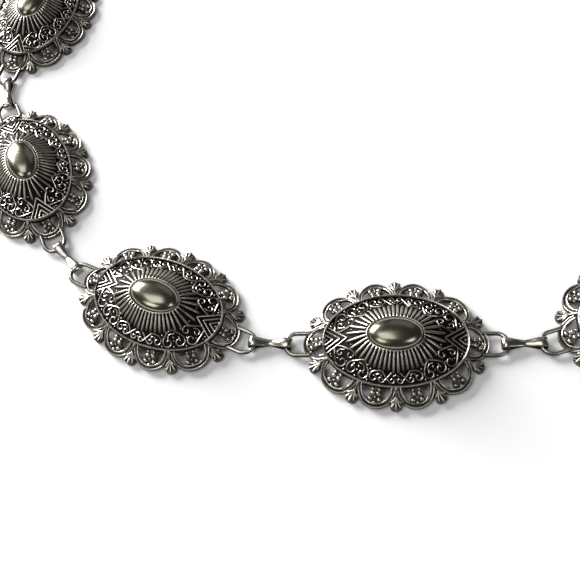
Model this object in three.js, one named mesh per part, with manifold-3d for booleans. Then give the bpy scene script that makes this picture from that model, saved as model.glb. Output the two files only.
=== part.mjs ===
// A concho belt laid in a closed loop on a table: oval cast conchos with a pierced scalloped border,
// joined by folded band links that ride on a wire loop at each end of every concho, and closed by a hook.
// Millimetres, +Z up. The table is z = 0 and the origin is the middle of the belt's outline on it.
import * as THREE from "three";
import { mergeVertices } from "three/addons/utils/BufferGeometryUtils.js";
import Module from "manifold-3d";

const wasm = await Module();
wasm.setup();

// Belt
const conchoCount = 10;
const runningClearance = 0.4; // between a wire loop and the band around it
// The way the belt lies, through its swivel points, as millimetres before it is closed up. Points chosen by hand.
const beltRoute = [
  [154, -1],
  [89, -21.5],
  [71.5, -22],
  [3.5, -22],
  [-15, -21],
  [-77, 6],
  [-89, 19],
  [-118, 80],
  [-122, 98],
  [-105, 163],
  [-94, 178],
  [-34, 210],
  [-16, 214],
  [52, 211],
  [70, 205],
  [129, 172],
  [142, 160],
  [178, 102],
  [181, 84],
  [169, 17],
];

// Concho: the cast oval with ten scallops and ten fans
const conchoLength = 64; // over the two end scallops
const conchoWidth = 47.8; // over the middle scallops
const rimLength = 50; // over the raised rim of the oval field
const rimWidth = 34.2;
const fanReach = 0.4; // how far a fan's tip stands beyond the scallops
const fanWidth = 4.6;
const fanShoulder = 0.9; // how far its corners stand back from its tip
const fanTurns = [22, 60, 90, 120, 158, 202, 240, 270, 300, 338]; // where the fans stand round the oval, degrees
const scallopBand = 2; // the arch's width at its top
const scallopFoot = 1.1; // and where it springs from the rim
const edgeHeight = 2.5; // height of the outer edge, which rests on the table
const borderRise = 2.9; // from the outer edge up to the rim
const footBand = 2.4; // width of the flat ring that rests on the table
const rimBead = 0.9; // height of the rim above the border
const rimBeadWidth = 1.1;
const rimLedge = 0.4; // of the border, between the rim and the windows
const fieldEdgeRise = 0.3; // from the border to the field just inside the bead
const flowerWidth = 5; // the boss in each window
const flowerFoot = 0.8; // its width at the rim, as a share
const flowerGap = 0.9; // between the boss and its arch

// The domed field: rings from the rim inwards
const ribFieldLength = 33;
const ribFieldWidth = 24.4;
const stoneLength = 18.8; // the plain oval boss at the top
const stoneWidth = 11.6;
const ribFieldHeight = 7.8;
const stoneFootHeight = 11.6;
const stoneShoulder = { share: 0.62, height: 13.5 }; // the boss's own crown, as a share of its outline
const stoneTopHeight = 14.4;
const domeWall = 1.9; // the casting's thickness under the field

// Wire loop at each end of a concho
const wireDiameter = 1.5;
const loopWidth = 9.5; // outside
const loopReach = 6.7; // beyond the end scallop
const loopGrip = 1.2; // how far its legs run into the arch

// Folded band link and the hook
const linkLength = 15.8;
const linkEndWidth = 3.6;
const linkWaistWidth = 2.1;
const bandWall = 0.7; // of the link and the hook
const linkWaistHeight = 1.5; // the two folds lying on each other
const hookLength = 21;
const hookMouth = 2.2; // the gap that lets the wire in

// Roundness of the faceted model
const domeSides = 16;
const wireSides = 5;
const loopSteps = 4;
const eyeSteps = 4;

// Worked out from the sizes above
const conchoHalf = conchoLength / 2;
const wireRadius = wireDiameter / 2;
const loopRadius = loopWidth / 2 - wireRadius; // of the wire's own line
const loopCentre = conchoHalf + loopReach - loopWidth / 2; // the swivel point on the concho's long axis
const eyeRadius = wireRadius + runningClearance; // inside of a link's eye
const bandRadius = eyeRadius + bandWall; // outside of a link's eye
const wireHeight = bandRadius; // the links lie on the table
// How far the faceted loop can fall back from its tip across the width of a link
const bow =
  loopRadius -
  Math.sqrt(loopRadius ** 2 - (linkEndWidth / 2) ** 2) +
  loopRadius * (1 - Math.cos(Math.PI / (2 * loopSteps)));
const silver = { color: 0x9d9a92, metalness: 1, roughness: 0.32 };
const degrees = Math.PI / 180;

const holeRadius = eyeRadius / Math.cos(Math.PI / (2 * eyeSteps)); // to the corners of an eye's facets
const eyePinch = 2.5 * eyeRadius; // length of the pinched inner end of an eye
const endToWire = bandRadius + bow; // from a band's end to the wire's line at its middle
const linkSpan = linkLength - 2 * endToWire + 2 * loopRadius; // between swivel points
const hookSpan = hookLength - 2 * endToWire + 2 * loopRadius;
const conchoSpan = 2 * loopCentre;

// A closed body gathered ring by ring
class Shell {
  points = [];
  faces = [];

  // Adds points and returns their numbers
  ring(points) {
    const first = this.points.length;
    this.points.push(...points);
    return points.map((_, i) => first + i);
  }

  // Joins two rings of as many points, facing up where the second lies inside the first
  band(from, to) {
    from.forEach((a, i) => {
      const next = (i + 1) % from.length;
      this.faces.push([a, from[next], to[next]], [a, to[next], to[i]]);
    });
  }

  // Closes a ring with one point
  cap(ring, point) {
    const [centre] = this.ring([point]);
    ring.forEach((a, i) => this.faces.push([a, ring[(i + 1) % ring.length], centre]));
  }

  geometry() {
    const made = new THREE.BufferGeometry();
    made.setAttribute("position", new THREE.Float32BufferAttribute(this.points.flatMap((p) => p.toArray()), 3));
    made.setIndex(this.faces.flat());
    return made;
  }
}

// A closed geometry as a solid that can be joined, and back
function solidOf(geometry) {
  const bare = geometry.clone();
  bare.deleteAttribute("normal");
  bare.deleteAttribute("uv");
  const merged = mergeVertices(bare, 1e-4);
  return new wasm.Manifold(
    new wasm.Mesh({
      numProp: 3,
      vertProperties: merged.attributes.position.array,
      triVerts: new Uint32Array(merged.index.array),
    }),
  );
}

function geometryOf(solid) {
  const mesh = solid.getMesh();
  const made = new THREE.BufferGeometry();
  made.setAttribute("position", new THREE.BufferAttribute(Float32Array.from(mesh.vertProperties), 3));
  made.setIndex(new THREE.BufferAttribute(Uint32Array.from(mesh.triVerts), 1));
  made.computeVertexNormals();
  return made;
}

// A point of an oval given by its length and width, at a turn in radians
const onOval = (length, width, turn) =>
  new THREE.Vector2((length / 2) * Math.cos(turn), (width / 2) * Math.sin(turn));

const ovalRing = (length, width) =>
  Array.from({ length: domeSides }, (_, i) => onOval(length, width, (2 * Math.PI * i) / domeSides));

// The oval's outward direction at a turn
const outwards = (length, width, turn) =>
  new THREE.Vector2(Math.cos(turn) / length, Math.sin(turn) / width).normalize();

// One scallop between two fans: where it springs from the rim, which way it faces and how large it is
function scallopBetween(fromTurn, toTurn) {
  const turn = (fromTurn + toTurn) / 2;
  const foot = onOval(rimLength, rimWidth, turn);
  const out = outwards(rimLength, rimWidth, turn);
  const along = new THREE.Vector2(-out.y, out.x);
  const top = onOval(conchoLength, conchoWidth, turn);
  const spring = [fromTurn, toTurn].map((t) => onOval(rimLength, rimWidth, t));
  const halfSpan = spring[0].distanceTo(spring[1]) / 2;
  const depth = top.sub(foot).dot(out);
  const at = (a, o) => foot.clone().addScaledVector(along, a).addScaledVector(out, o);
  const halfTurn = (toTurn - fromTurn) / 2;
  return { turn, halfTurn, halfSpan, depth, at };
}

// Points of an arch at shares of its half turn, from its first foot to its second
const archPoints = (scallop, halfWidth, depth, shares) =>
  shares.map((s) => scallop.at(-halfWidth * Math.cos(Math.PI * s), depth * Math.sin(Math.PI * s)));

// A point just outside the rim, at a share of the way from the scallop's middle to its fans
const onRim = (scallop, share) => {
  const turn = scallop.turn + share * scallop.halfTurn;
  return onOval(rimLength, rimWidth, turn).addScaledVector(outwards(rimLength, rimWidth, turn), rimLedge);
};

function scallops() {
  return fanTurns.map((turn, i) => {
    const next = fanTurns[(i + 1) % fanTurns.length];
    return scallopBetween(turn * degrees, (next > turn ? next : next + 360) * degrees);
  });
}

// The border's outline: for each sector the arch between two fans, then the fan after it
function borderOutline() {
  const archShares = [0.2, 0.4, 0.6, 0.8];
  return scallops().flatMap((scallop, i) => {
    const turn = fanTurns[(i + 1) % fanTurns.length] * degrees;
    const out = outwards(conchoLength, conchoWidth, turn);
    const along = new THREE.Vector2(-out.y, out.x);
    const tip = onOval(conchoLength, conchoWidth, turn).addScaledVector(out, fanReach);
    const corner = (side) =>
      tip.clone().addScaledVector(along, (side * fanWidth) / 2).addScaledVector(out, -fanShoulder);
    return [...archPoints(scallop, scallop.halfSpan, scallop.depth, archShares), corner(-1), tip, corner(1)];
  });
}

// The window under each arch, with the flower boss standing in it from the rim
function borderWindows() {
  const archShares = [0.25, 0.5, 0.75];
  return scallops().map((scallop) => {
    const halfWidth = scallop.halfSpan - scallopFoot;
    const depth = scallop.depth - scallopBand;
    const footShare = halfWidth / scallop.halfSpan;
    const bossShare = (flowerWidth / 2 / scallop.halfSpan) * flowerFoot;
    const bossTop = depth - flowerGap;
    return [
      onRim(scallop, -footShare),
      onRim(scallop, -bossShare),
      scallop.at(-flowerWidth / 2, bossTop),
      scallop.at(flowerWidth / 2, bossTop),
      onRim(scallop, bossShare),
      onRim(scallop, footShare),
      ...archPoints(scallop, halfWidth, depth, archShares).reverse(),
    ];
  });
}

// How far a point of the border lies from the rim, 0, to the flat ring at the edge, 1
function borderShare(point) {
  const turn = Math.atan2(point.y, point.x);
  const radius = (length, width) =>
    1 / Math.hypot(Math.cos(turn) / (length / 2), Math.sin(turn) / (width / 2));
  const inner = radius(rimLength, rimWidth);
  const outer = radius(conchoLength, conchoWidth) - footBand;
  return THREE.MathUtils.clamp((point.length() - inner) / (outer - inner), 0, 1);
}

const raised = (points, height) => points.map((p) => new THREE.Vector3(p.x, p.y, height(p)));

// The casting without its wire loops, hollow at the back
function conchoCasting() {
  const shell = new Shell();
  const loops = [borderOutline(), ...borderWindows()];
  const rimFoot = ovalRing(rimLength, rimWidth);
  const flat = [...loops.flat(), ...rimFoot];
  const topHeight = (p) => edgeHeight + borderRise * (1 - borderShare(p));
  const backHeight = (p) => (edgeHeight + borderRise - domeWall) * (1 - borderShare(p));
  const top = shell.ring(raised(flat, topHeight));
  const back = shell.ring(raised(flat, backHeight));

  const faces = THREE.ShapeUtils.triangulateShape(loops[0], [...loops.slice(1), rimFoot]);
  for (const face of faces) {
    const up = THREE.ShapeUtils.area(face.map((n) => flat[n])) > 0 ? face : [...face].reverse();
    shell.faces.push(up.map((n) => top[n]));
    shell.faces.push([...up].reverse().map((n) => back[n]));
  }
  let first = 0;
  for (const loop of loops) {
    shell.band(back.slice(first, first + loop.length), top.slice(first, first + loop.length));
    first += loop.length;
  }

  // The field, from the rim's bead up to the plain boss
  const rimTop = edgeHeight + borderRise;
  const fieldRings = [
    [rimLength - rimBeadWidth, rimWidth - rimBeadWidth, rimTop + rimBead],
    [rimLength - 2 * rimBeadWidth, rimWidth - 2 * rimBeadWidth, rimTop + fieldEdgeRise],
    [ribFieldLength, ribFieldWidth, ribFieldHeight],
    [stoneLength, stoneWidth, stoneFootHeight],
    [stoneLength * stoneShoulder.share, stoneWidth * stoneShoulder.share, stoneShoulder.height],
  ];
  let ring = top.slice(first);
  for (const [length, width, height] of fieldRings) {
    const inner = shell.ring(raised(ovalRing(length, width), () => height));
    shell.band(ring, inner);
    ring = inner;
  }
  shell.cap(ring, new THREE.Vector3(0, 0, stoneTopHeight));

  // The hollow back follows the field from below
  shell.cap(back.slice(first).reverse(), new THREE.Vector3(0, 0, stoneTopHeight - domeWall));
  return shell.geometry();
}

// The line of a wire loop: a leg, half a turn round the swivel point and the other leg
class LoopLine extends THREE.Curve {
  constructor(legStart) {
    super();
    this.legStart = legStart;
  }

  getPoint(t, target = new THREE.Vector3()) {
    const step = t * (loopSteps + 2);
    const share = (step - 1) / loopSteps;
    const turn = Math.PI * (THREE.MathUtils.clamp(share, 0, 1) - 0.5);
    const legLength = loopCentre - this.legStart;
    const back = share < 0 ? -share * loopSteps * legLength : share > 1 ? (share - 1) * loopSteps * legLength : 0;
    return target.set(loopCentre + loopRadius * Math.cos(turn) - back, loopRadius * Math.sin(turn), 0);
  }

  getTangent(t, target = new THREE.Vector3()) {
    const share = (t * (loopSteps + 2) - 1) / loopSteps;
    const turn = Math.PI * (THREE.MathUtils.clamp(share, 0, 1) - 0.5);
    return target.set(-Math.sin(turn), Math.cos(turn), 0);
  }

  getPointAt(u, target) {
    return this.getPoint(u, target);
  }

  getTangentAt(u, target) {
    return this.getTangent(u, target);
  }

  getSpacedPoints(divisions) {
    return this.getPoints(divisions);
  }
}

// A wire loop, standing out of the concho's +X end
function wireLoop() {
  const endScallop = scallops().at(-1);
  const archShare = Math.acos(loopRadius / endScallop.halfSpan) / Math.PI;
  const [archSide] = archPoints(endScallop, endScallop.halfSpan, endScallop.depth, [archShare]);
  const line = new LoopLine(archSide.x - loopGrip);
  const section = new THREE.Shape(
    Array.from({ length: wireSides }, (_, i) => {
      const turn = (2 * Math.PI * i) / wireSides;
      return new THREE.Vector2(wireRadius * Math.cos(turn), wireRadius * Math.sin(turn));
    }),
  );
  const wire = new THREE.ExtrudeGeometry(section, { steps: loopSteps + 2, extrudePath: line, bevelEnabled: false });
  return wire.translate(0, 0, wireHeight);
}

function conchoGeometry() {
  const loop = wireLoop();
  const otherLoop = loop.clone().rotateZ(Math.PI);
  const solid = solidOf(conchoCasting()).add(solidOf(loop)).add(solidOf(otherLoop));
  return geometryOf(solid);
}

// Points of an arc round a centre on the band's long axis, between two turns in degrees
const arc = (x, radius, from = -90, to = 90, steps = eyeSteps) =>
  Array.from({ length: steps + 1 }, (_, i) => {
    const turn = (from + ((to - from) * i) / steps) * degrees;
    return new THREE.Vector2(x + radius * Math.cos(turn), radius * Math.sin(turn));
  });

// The inside of an eye at the +X end: round where the wire pulls and pinched towards the waist
function eyeHole(length) {
  const wireAt = length / 2 - endToWire;
  return [
    ...arc(length / 2 - bandRadius, holeRadius),
    new THREE.Vector2(wireAt, holeRadius),
    new THREE.Vector2(wireAt - eyePinch, 0),
    new THREE.Vector2(wireAt, -holeRadius),
  ];
}

const mirrored = (points) => points.map((p) => new THREE.Vector2(-p.x, p.y)).reverse();

// A shape made thick to both sides of its plane
function slab(outline, holes, thickness) {
  const shape = new THREE.Shape(outline);
  shape.holes = holes.map((hole) => new THREE.Path(hole));
  const made = new THREE.ExtrudeGeometry(shape, { depth: thickness, bevelEnabled: false });
  return made.translate(0, 0, -thickness / 2);
}

// A band that stands on its edge seen from the side, and has a waist seen from above
function bandGeometry(outline, holes, length) {
  const half = [
    new THREE.Vector2(0, -linkWaistWidth / 2),
    new THREE.Vector2(length / 2, -linkEndWidth / 2),
    new THREE.Vector2(length / 2, linkEndWidth / 2),
    new THREE.Vector2(0, linkWaistWidth / 2),
  ];
  const side = slab(outline, holes, linkEndWidth * 2).rotateX(Math.PI / 2);
  const plan = slab([...half, ...mirrored(half).slice(1, -1)], [], length);
  return geometryOf(solidOf(side).intersect(solidOf(plan)));
}

// The folded link: an eye at each end and a pinched waist
function linkGeometry() {
  const half = [
    new THREE.Vector2(0, -linkWaistHeight / 2),
    ...arc(linkLength / 2 - bandRadius, bandRadius),
    new THREE.Vector2(0, linkWaistHeight / 2),
  ];
  const hole = eyeHole(linkLength);
  return bandGeometry([...half, ...mirrored(half).slice(1, -1)], [hole, mirrored(hole)], linkLength);
}

// The hook: a closed eye at its -X end and an open one at its +X end, with its mouth towards the table
function hookGeometry() {
  const outerEnd = hookLength / 2 - bandRadius;
  const wireAt = hookLength / 2 - endToWire;
  const outline = [
    ...mirrored(arc(outerEnd, bandRadius)),
    new THREE.Vector2(wireAt - hookMouth, holeRadius - bandWall * 2),
    new THREE.Vector2(wireAt - holeRadius, 0),
    new THREE.Vector2(wireAt - holeRadius, holeRadius),
    ...arc(outerEnd, holeRadius, 90, -90),
    new THREE.Vector2(wireAt, -holeRadius),
    new THREE.Vector2(wireAt, -bandRadius),
    ...arc(outerEnd, bandRadius),
  ];
  return bandGeometry(outline, [mirrored(eyeHole(hookLength))], hookLength);
}

// Lays the belt along its route: each span is a chord of the closed curve, and the curve is scaled until
// the last chord ends where the first one starts
function layOut() {
  const spans = Array.from({ length: conchoCount }, (_, i) => [
    conchoSpan,
    i < conchoCount - 1 ? linkSpan : hookSpan,
  ]).flat();
  const samples = 2000;
  const curve = new THREE.CatmullRomCurve3(beltRoute.map(([x, y]) => new THREE.Vector3(x, y, 0)), true);
  const track = curve.getPoints(samples);
  const first = track[0];
  const at = (place) => {
    const whole = Math.floor(place);
    return track[whole % samples].clone().lerp(track[(whole + 1) % samples], place - whole);
  };
  // Walks the spans round the curve, with the points scaled about the first one
  const walk = (scale) => {
    const places = [0];
    for (const span of spans) {
      const from = at(places.at(-1));
      let near = places.at(-1);
      while (at(near + 1).distanceTo(from) * scale < span) near += 1;
      let low = near;
      let high = near + 1;
      for (let n = 0; n < 30; n++) {
        const middle = (low + high) / 2;
        if (at(middle).distanceTo(from) * scale < span) low = middle;
        else high = middle;
      }
      places.push(low);
    }
    return places;
  };
  let small = 0.5;
  let large = 2;
  for (let n = 0; n < 40; n++) {
    const middle = (small + large) / 2;
    if (walk(middle).at(-1) > samples) small = middle;
    else large = middle;
  }
  const scale = (small + large) / 2;
  return walk(scale).map((place) => at(place).sub(first).multiplyScalar(scale).add(first));
}

const belt = new THREE.Group();
const finish = new THREE.MeshStandardMaterial(silver);
const swivels = layOut();

function place(geometry, name, from, to, height) {
  const mesh = new THREE.Mesh(geometry, finish.clone());
  mesh.name = name;
  mesh.position.copy(from).add(to).divideScalar(2).setZ(height);
  mesh.rotation.z = Math.atan2(to.y - from.y, to.x - from.x);
  belt.add(mesh);
}

const concho = conchoGeometry();
const link = linkGeometry();
const hook = hookGeometry();
const numbered = (name, i) => `${name}_${String(i + 1).padStart(2, "0")}`;
for (let i = 0; i < conchoCount; i++) {
  const [from, to, next] = [swivels[2 * i], swivels[2 * i + 1], swivels[2 * i + 2]];
  place(concho, numbered("concho", i), from, to, 0);
  if (i < conchoCount - 1) place(link, numbered("link", i), to, next, wireHeight);
  else place(hook, "hook_clasp", to, next, wireHeight);
}

// The origin is the middle of the whole outline, on the table
const bounds = new THREE.Box3().setFromObject(belt, true);
const middle = bounds.getCenter(new THREE.Vector3());
for (const mesh of belt.children) {
  mesh.position.x -= middle.x;
  mesh.position.y -= middle.y;
}

export default belt;
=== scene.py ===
"""The looks of a concho belt that lies in a closed loop on a pale table."""

import logging
import math
from dataclasses import dataclass, field
from enum import Enum

import bpy
import numpy as np
from mathutils import Matrix, Vector


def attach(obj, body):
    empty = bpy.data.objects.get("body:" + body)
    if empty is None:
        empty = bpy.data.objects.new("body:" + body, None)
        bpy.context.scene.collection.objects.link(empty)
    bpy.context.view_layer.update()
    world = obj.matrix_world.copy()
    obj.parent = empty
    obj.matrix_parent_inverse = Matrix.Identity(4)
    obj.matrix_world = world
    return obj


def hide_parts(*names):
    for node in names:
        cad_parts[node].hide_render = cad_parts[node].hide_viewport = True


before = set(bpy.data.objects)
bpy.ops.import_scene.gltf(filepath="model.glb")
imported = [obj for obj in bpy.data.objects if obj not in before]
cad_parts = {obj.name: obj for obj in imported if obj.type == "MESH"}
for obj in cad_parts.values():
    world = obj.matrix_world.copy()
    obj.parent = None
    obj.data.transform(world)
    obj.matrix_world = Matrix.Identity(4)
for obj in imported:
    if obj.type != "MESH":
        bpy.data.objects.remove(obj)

log = logging.getLogger("concho_belt")

MM = 0.001
MAIN_CONCHO = "concho_02"
ARCH_SIDE_SHARE = 0.85  # how much of an inset an arch takes at its feet
BEAD_ROOT = 0.35  # how far a bead of radius 1 reaches under its flat side
# Beads and round lines get more polish the more they face up: rubbed crests, with painted shade on what faces
# sideways
CREST_GAIN = 1.1  # polish of what faces straight up, before it is cut at 1
BEAD_SIDE_POLISH_AND_SHADE = 0.25
BEAD_POLISH_GAIN = 0.95
SHARP_ANGLE = math.radians(60)


# Plain shapes


@dataclass(frozen=True)
class Oval:
    """An oval round a concho's middle, with its length along X, in millimetres."""

    half_length: float
    half_width: float

    def at(self, turn: float) -> np.ndarray:
        """The point at a turn in radians."""
        return np.array([self.half_length * math.cos(turn), self.half_width * math.sin(turn)])

    def out(self, turn: float) -> np.ndarray:
        """The outward direction at a turn in radians."""
        way = np.array([math.cos(turn) / self.half_length, math.sin(turn) / self.half_width])
        return way / np.linalg.norm(way)

    def level(self, points: np.ndarray) -> np.ndarray:
        """How far points lie from the middle: 1 on the oval."""
        return np.hypot(points[..., 0] / self.half_length, points[..., 1] / self.half_width)

    def beyond(self, start: np.ndarray, way: np.ndarray) -> float:
        """How far from an inner point the oval is met.

        Args:
            start: A point inside the oval.
            way: A direction of length 1.

        Returns:
            The distance to the oval along the way.
        """
        scale = np.array([self.half_length, self.half_width])
        s, w = start / scale, way / scale
        a, b, c = w @ w, s @ w, s @ s - 1
        return float((-b + math.sqrt(b * b - a * c)) / a)


@dataclass
class Patch:
    """A closed surface in millimetres, with how polished each of its points is."""

    points: np.ndarray
    faces: list[tuple[int, ...]]
    polish: np.ndarray
    plain: bool = False

    def facing_out(self) -> "Patch":
        """The same surface with its faces pointing outwards."""
        volume = 0.0
        for face in self.faces:
            a = self.points[face[0]]
            for b, c in zip(face[1:-1], face[2:]):
                volume += float(np.dot(a, np.cross(self.points[b], self.points[c])))
        if volume < 0:
            self.faces = [tuple(reversed(face)) for face in self.faces]
        return self


def loft(sections: np.ndarray, polish: np.ndarray, closed: bool = False) -> Patch:
    """A surface through closed sections.

    Args:
        sections: The sections' points, as an array of sections, points and axes.
        polish: How polished each point is, as an array of sections and points.
        closed: Whether the last section joins the first one, in place of two caps.

    Returns:
        The closed surface.
    """
    rows, columns = sections.shape[:2]
    faces = []
    for i in range(rows if closed else rows - 1):
        a, b = i * columns, ((i + 1) % rows) * columns
        for j in range(columns):
            k = (j + 1) % columns
            faces.append((a + j, a + k, b + k, b + j))
    points = sections.reshape(-1, 3)
    shine = polish.reshape(-1)
    if not closed:
        for first, turned in ((0, True), ((rows - 1) * columns, False)):
            ring = list(range(first, first + columns))
            middle = len(points)
            points = np.vstack([points, points[ring].mean(axis=0)])
            shine = np.append(shine, shine[ring].mean())
            for j in range(columns):
                pair = (ring[j], ring[(j + 1) % columns])
                faces.append((pair[1], pair[0], middle) if turned else (*pair, middle))
    return Patch(points, faces, shine).facing_out()


@dataclass
class Stroke:
    """A raised round line, in millimetres."""

    points: np.ndarray
    radius: np.ndarray
    shine: np.ndarray

    @classmethod
    def over(
        cls,
        flat: np.ndarray,
        height: np.ndarray | float,
        radius: np.ndarray | float,
        shine: np.ndarray | float,
    ) -> "Stroke":
        """A line over its points on the flat, where a plain number holds for all of them."""
        height, radius, shine = (np.broadcast_to(value, len(flat)) for value in (height, radius, shine))
        return cls(np.column_stack([flat, height]), radius, shine)


@dataclass
class Places:
    """Where copies of one small shape stand: points, turns about Z and sizes, in millimetres."""

    points: list[tuple[float, float, float]] = field(default_factory=list)
    turns: list[float] = field(default_factory=list)
    sizes: list[tuple[float, float, float]] = field(default_factory=list)

    def add(
        self,
        point: tuple[float, float, float],
        size: tuple[float, float, float],
        turn: float = 0.0,
    ) -> None:
        """Adds one place."""
        self.points.append(point)
        self.turns.append(turn)
        self.sizes.append(size)


# Node trees


def feed(tree: bpy.types.NodeTree, node: bpy.types.Node, **inputs: object) -> bpy.types.Node:
    """Fills in a node.

    Args:
        tree: The node's tree.
        node: The node.
        **inputs: Its settings by name, and its inputs by name with spaces as underscores. An input that is
            given a socket is linked to it.

    Returns:
        The node.
    """
    for name, value in inputs.items():
        if hasattr(node, name):
            setattr(node, name, value)
    for name, value in inputs.items():
        socket = node.inputs.get(name.replace("_", " "))
        if socket is None:
            continue
        if isinstance(value, bpy.types.NodeSocket):
            tree.links.new(value, socket)
        else:
            socket.default_value = value
    return node


def grown(tree: bpy.types.NodeTree, kind: str, **inputs: object) -> bpy.types.Node:
    """A new node of a tree, filled in."""
    return feed(tree, tree.nodes.new(kind), **inputs)


class Tree:
    """A geometry node tree while it is built."""

    def __init__(self, name: str) -> None:
        """Starts a tree that takes and gives a geometry."""
        self.group = bpy.data.node_groups.new(name, "GeometryNodeTree")
        self.group.is_modifier = True
        self.identifiers: dict[str, str] = {}
        self.group.interface.new_socket("Geometry", in_out="INPUT", socket_type="NodeSocketGeometry")
        self.group.interface.new_socket("Geometry", in_out="OUTPUT", socket_type="NodeSocketGeometry")
        self.entry = self.group.nodes.new("NodeGroupInput")

    def takes(self, name: str, kind: str) -> None:
        """Adds a named input."""
        socket = self.group.interface.new_socket(name, in_out="INPUT", socket_type=kind)
        self.identifiers[name] = socket.identifier

    def node(self, kind: str, **inputs: object) -> bpy.types.Node:
        """A new node of this tree, filled in."""
        return grown(self.group, kind, **inputs)

    def given(self, name: str) -> bpy.types.NodeSocket:
        """The value of a named input inside the tree."""
        return self.entry.outputs[name]

    def ends(self, geometry: bpy.types.NodeSocket) -> None:
        """Makes plain faces of everything, dresses them and ends the tree."""
        real = self.node("GeometryNodeRealizeInstances", Geometry=geometry)
        smooth = self.node("GeometryNodeSetShadeSmooth", Geometry=real.outputs[0])
        dressed = self.node(
            "GeometryNodeSetMaterial", Geometry=smooth.outputs[0], Material=self.given("Material")
        )
        self.node("NodeGroupOutput", Geometry=dressed.outputs[0])

    def run(self, source: bpy.types.Mesh, **values: object) -> bpy.types.Mesh:
        """Runs the tree on a mesh.

        Args:
            source: The mesh that goes in.
            **values: The named inputs, with spaces as underscores.

        Returns:
            A plain mesh.
        """
        carrier = bpy.data.objects.new(source.name, source)
        bpy.context.scene.collection.objects.link(carrier)
        modifier = carrier.modifiers.new(self.group.name, "NODES")
        modifier.node_group = self.group
        for name, value in values.items():
            modifier[self.identifiers[name.replace("_", " ")]] = value
        evaluated = carrier.evaluated_get(bpy.context.evaluated_depsgraph_get())
        made = bpy.data.meshes.new_from_object(evaluated)
        carrier.modifiers.clear()
        bpy.data.objects.remove(carrier)
        return made


def sweeping_tree() -> Tree:
    """A tree that runs a round section along each line, as thick as the line's own attribute says."""
    tree = Tree("Round line along a path")
    tree.takes("Sides", "NodeSocketInt")
    tree.takes("Material", "NodeSocketMaterial")
    line = tree.node("GeometryNodeMeshToCurve", Mesh=tree.entry.outputs["Geometry"])
    upright = tree.node("GeometryNodeSetCurveNormal", mode="Z_UP", Curve=line.outputs[0])
    thick = tree.node("GeometryNodeInputNamedAttribute", data_type="FLOAT", Name="thickness")
    sized = tree.node("GeometryNodeSetCurveRadius", Curve=upright.outputs[0], Radius=thick.outputs[0])
    section = tree.node("GeometryNodeCurvePrimitiveCircle", Resolution=tree.given("Sides"), Radius=1.0)
    swept = tree.node(
        "GeometryNodeCurveToMesh", Curve=sized.outputs[0], Profile_Curve=section.outputs[0], Fill_Caps=True
    )
    if "Scale" in swept.inputs:
        tree.group.links.new(thick.outputs[0], swept.inputs["Scale"])
    tree.ends(swept.outputs[0])
    return tree


def copying_tree() -> Tree:
    """A tree that stands a copy of one shape on each point, turned and sized by the point's attributes."""
    tree = Tree("Copies on points")
    tree.takes("Shape", "NodeSocketObject")
    tree.takes("Material", "NodeSocketMaterial")
    shape = tree.node("GeometryNodeObjectInfo", Object=tree.given("Shape"))
    turn = tree.node("GeometryNodeInputNamedAttribute", data_type="FLOAT_VECTOR", Name="facing")
    facing = tree.node("FunctionNodeEulerToRotation", Euler=turn.outputs[0])
    size = tree.node("GeometryNodeInputNamedAttribute", data_type="FLOAT_VECTOR", Name="size")
    stood = tree.node(
        "GeometryNodeInstanceOnPoints",
        Points=tree.entry.outputs["Geometry"],
        Instance=shape.outputs["Geometry"],
        Rotation=facing.outputs[0],
        Scale=size.outputs[0],
    )
    tree.ends(stood.outputs[0])
    return tree


def give_values(mesh: bpy.types.Mesh, name: str, values: np.ndarray) -> None:
    """Stores a number or a vector for each point of a mesh.

    Args:
        mesh: The mesh.
        name: The attribute's name.
        values: One number or one row of three a point.
    """
    kind, key = ("FLOAT", "value") if values.ndim == 1 else ("FLOAT_VECTOR", "vector")
    attribute = mesh.attributes.new(name, kind, "POINT")
    attribute.data.foreach_set(key, values.astype(np.float32).ravel())


def mesh_values(mesh: bpy.types.Mesh, name: str) -> np.ndarray:
    """A mesh's number for each point as an array."""
    values = np.zeros(len(mesh.vertices), np.float32)
    mesh.attributes[name].data.foreach_get("value", values)
    return values


def patch_of(mesh: bpy.types.Mesh, polish: np.ndarray) -> Patch:
    """A plain mesh as a patch."""
    points = np.zeros(len(mesh.vertices) * 3, np.float32)
    mesh.vertices.foreach_get("co", points)
    faces = [tuple(face.vertices) for face in mesh.polygons]
    return Patch(points.reshape(-1, 3), faces, polish)


def upward(mesh: bpy.types.Mesh) -> np.ndarray:
    """How far each point of a mesh faces up: 1 on a crest, 0 on a side."""
    normals = np.zeros(len(mesh.vertices) * 3, np.float32)
    mesh.vertex_normals.foreach_get("vector", normals)
    return normals.reshape(-1, 3)[:, 2]


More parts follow.
